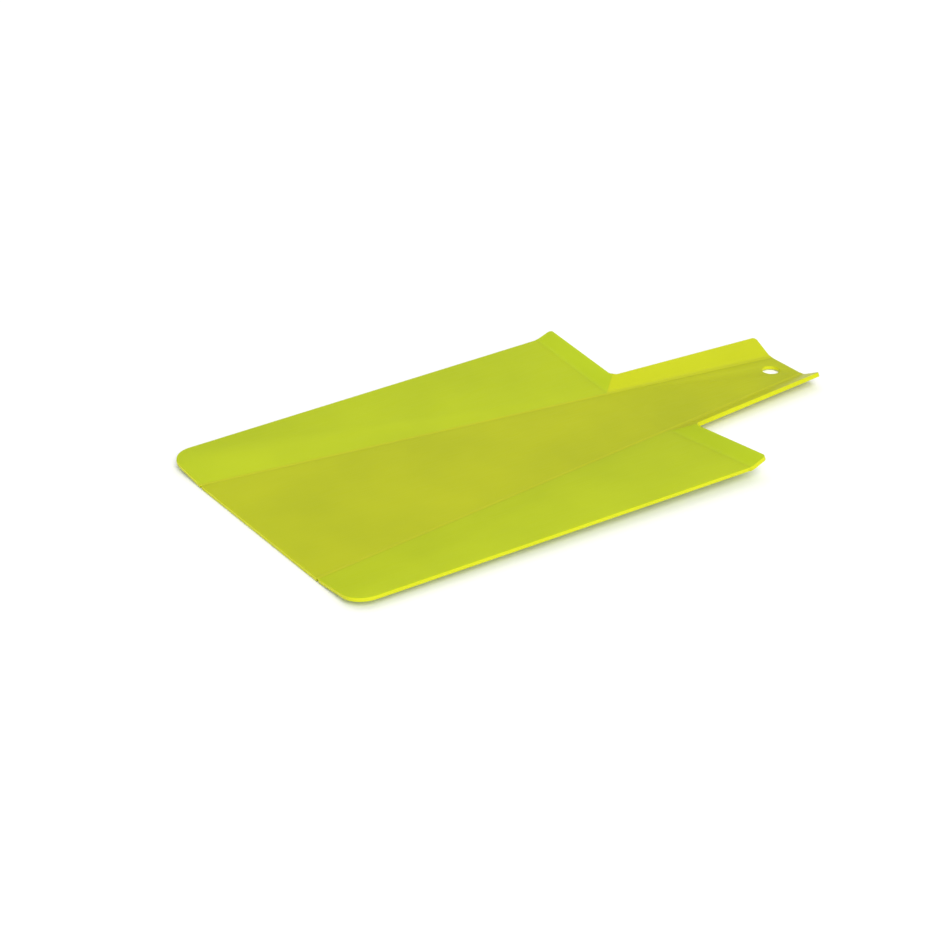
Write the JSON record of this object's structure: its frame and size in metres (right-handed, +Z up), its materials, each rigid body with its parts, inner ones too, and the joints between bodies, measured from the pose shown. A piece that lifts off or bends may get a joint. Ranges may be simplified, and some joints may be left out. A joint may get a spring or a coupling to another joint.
{
  "type": "folding cutting mat",
  "caption": "Thin flexible cutting mat with a handle, whose sides fold up on two living hinges to make a chute, with a low back lip and a hanging hole.",
  "frame": {"origin": "on the resting surface, under the middle of the mat's bounding box", "axes": "+X from the front edge to the end of the handle, +Y to the right-hand side for a cook who holds the handle and looks along the mat, +Z up"},
  "size_m": [0.38, 0.2112, 0.0139],
  "materials": {
    "centre_sheet": "satin moulded",
    "side_sheet": "satin moulded",
    "turned_up_sheet": "satin moulded",
    "crease_web": "satin moulded"
  },
  "bodies": {
    "centre": {"centre_panel": "centre_sheet", "handle_floor": "centre_sheet", "right_board_crease": "crease_web", "right_handle_crease": "crease_web", "left_board_crease": "crease_web", "left_handle_crease": "crease_web"},
    "right_side": {"right_side_panel": "side_sheet", "right_back_lip": "turned_up_sheet", "right_handle_side": "turned_up_sheet"},
    "left_side": {"left_side_panel": "side_sheet", "left_back_lip": "turned_up_sheet", "left_handle_side": "turned_up_sheet"}
  },
  "joints": [
    {"name": "right_fold", "type": "hinge", "parent": "centre", "child": "right_side", "pos_m": [-0.19, 0.064, 0.00225], "axis": [0.9915, -0.1299, 0], "range_deg": [-5.7, 70], "stiffness_Nm_per_rad": 0.3, "springref_deg": 2.12, "deforming": ["right_board_crease", "right_handle_crease"]},
    {"name": "left_fold", "type": "hinge", "parent": "centre", "child": "left_side", "pos_m": [-0.19, -0.064, 0.00225], "axis": [-0.9915, -0.1299, 0], "range_deg": [-5.7, 70], "stiffness_Nm_per_rad": 0.3, "springref_deg": 2.12, "deforming": ["left_board_crease", "left_handle_crease"]}
  ]
}
